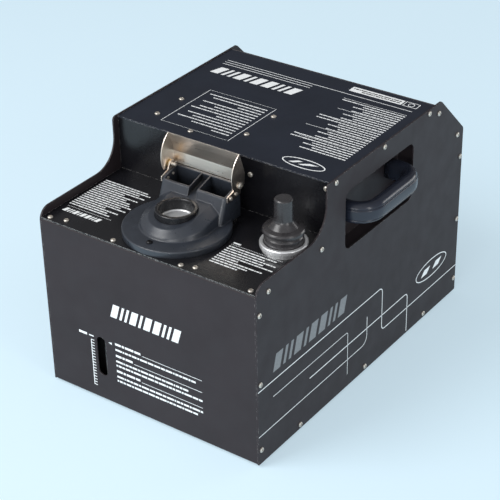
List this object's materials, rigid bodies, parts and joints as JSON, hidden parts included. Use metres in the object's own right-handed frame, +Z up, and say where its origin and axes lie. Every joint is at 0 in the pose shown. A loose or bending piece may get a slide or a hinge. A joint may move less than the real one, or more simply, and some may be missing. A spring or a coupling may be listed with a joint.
{
  "type": "fog machine",
  "caption": "Sheet-metal haze machine with a stepped casing, a round outlet head with a tilting deflector hood, a filler with a bung and two recessed side grips.",
  "frame": {"origin": "middle of the footprint of the casing, on the plane the rubber feet rest on", "axes": "+X to the machine's right seen from the front, +Y from the front panel to the rear panel, +Z up"},
  "size_m": [0.352, 0.4463, 0.3113],
  "materials": {
    "side_paint": "matt black powder coat, fine grain",
    "deck_paint": "semi-gloss black paint, light orange peel",
    "top_paint": "satin blue-black paint",
    "slate_plastic": "satin moulded plastic",
    "grip_plastic": "semi-gloss moulded plastic",
    "tray_plastic": "matt moulded plastic",
    "black_gloss_plastic": "gloss moulded plastic",
    "rubber": "satin rubber",
    "stainless": "brushed stainless sheet",
    "nickel_steel": "nickel-plated",
    "black_steel": "blacked steel",
    "zinc_steel": "zinc-plated",
    "bright_aluminium": "bright turned",
    "cast_aluminium": "as cast",
    "brass": "plain",
    "clear_tube": "clear",
    "tank_plastic": "natural polyethylene",
    "pump_metal": "painted",
    "hose_plastic": "milky",
    "jacket_cloth": "woven glass cloth",
    "circuit_board": "solder mask",
    "cable_jacket": "satin",
    "display_black": "dark window",
    "button_plastic": "satin",
    "switch_red": "gloss"
  },
  "bodies": {
    "casing": {"air_duct": "tray_plastic", "air_hose": "hose_plastic", "air_pump": "pump_metal", "base_plate": "side_paint", "blower_housing": "tray_plastic", "board_spacers": "brass", "bracket_screws": "nickel_steel", "control_board": "circuit_board", "control_panel": "side_paint", "cover_screws": "nickel_steel", "data_socket_in": "black_gloss_plastic", "data_socket_out": "black_gloss_plastic", "deck_plate": "deck_paint", "display_module": "display_black", "filler_neck": "stainless", "fitting_screws": "black_steel", "fluid_hose": "hose_plastic", "fluid_pump": "pump_metal", "fluid_tank": "tank_plastic", "front_panel": "side_paint", "fuse_holder": "black_gloss_plastic", "handle_bolts": "nickel_steel", "handle_left": "grip_plastic", "handle_right": "grip_plastic", "handle_tray_left": "tray_plastic", "handle_tray_right": "tray_plastic", "haze_pipe": "zinc_steel", "heater_block": "cast_aluminium", "heater_jacket": "jacket_cloth", "heater_stand": "zinc_steel", "hood_bracket_left": "stainless", "hood_bracket_right": "stainless", "level_fittings": "brass", "level_tube": "clear_tube", "nozzle_plate": "bright_aluminium", "nozzle_ring": "black_gloss_plastic", "outlet_head": "slate_plastic", "outlet_screw": "black_steel", "pivot_screws": "nickel_steel", "pivot_spacers": "brass", "power_inlet": "black_gloss_plastic", "power_supply": "zinc_steel", "rear_panel": "side_paint", "riser_panel": "deck_paint", "rubber_feet": "rubber", "side_plate_left": "side_paint", "side_plate_right": "side_paint", "side_screws": "nickel_steel", "switch_frame": "black_gloss_plastic", "top_cover": "top_paint", "wiring": "cable_jacket"},
    "deflector": {"deflector_hood": "stainless"},
    "bung": {"filler_bung": "rubber"},
    "rotor": {"blower_rotor": "tray_plastic"},
    "fuse": {"fuse_cap": "black_gloss_plastic"},
    "rocker": {"switch_rocker": "switch_red"},
    "key_menu": {"button_menu": "button_plastic"},
    "key_down": {"button_down": "button_plastic"},
    "key_up": {"button_up": "button_plastic"},
    "key_enter": {"button_enter": "button_plastic"}
  },
  "joints": [
    {"name": "deflector_tilt", "type": "hinge", "parent": "casing", "child": "deflector", "pos_m": [0, -0.105, 0.2732], "axis": [1, 0, 0], "range_deg": [-12, 90]},
    {"name": "bung_lift", "type": "slide", "parent": "casing", "child": "bung", "axis": [0, 0, 1], "range_m": [0, 0.06]},
    {"name": "rotor_spin", "type": "hinge", "parent": "casing", "child": "rotor", "pos_m": [0, -0.012, 0.227], "axis": [1, 0, 0], "continuous": true},
    {"name": "fuse_draw", "type": "slide", "parent": "casing", "child": "fuse", "axis": [0, 1, 0], "range_m": [0, 0.04]},
    {"name": "rocker_tip", "type": "hinge", "parent": "casing", "child": "rocker", "pos_m": [-0.062, 0.2175, 0.0495], "axis": [1, 0, 0], "range_deg": [-21, 0]},
    {"name": "key_menu_press", "type": "slide", "parent": "casing", "child": "key_menu", "axis": [0, -0.7071, -0.7071], "range_m": [0, 0.0008], "stiffness_N_per_m": 400},
    {"name": "key_down_press", "type": "slide", "parent": "casing", "child": "key_down", "axis": [0, -0.7071, -0.7071], "range_m": [0, 0.0008], "stiffness_N_per_m": 400},
    {"name": "key_up_press", "type": "slide", "parent": "casing", "child": "key_up", "axis": [0, -0.7071, -0.7071], "range_m": [0, 0.0008], "stiffness_N_per_m": 400},
    {"name": "key_enter_press", "type": "slide", "parent": "casing", "child": "key_enter", "axis": [0, -0.7071, -0.7071], "range_m": [0, 0.0008], "stiffness_N_per_m": 400}
  ]
}
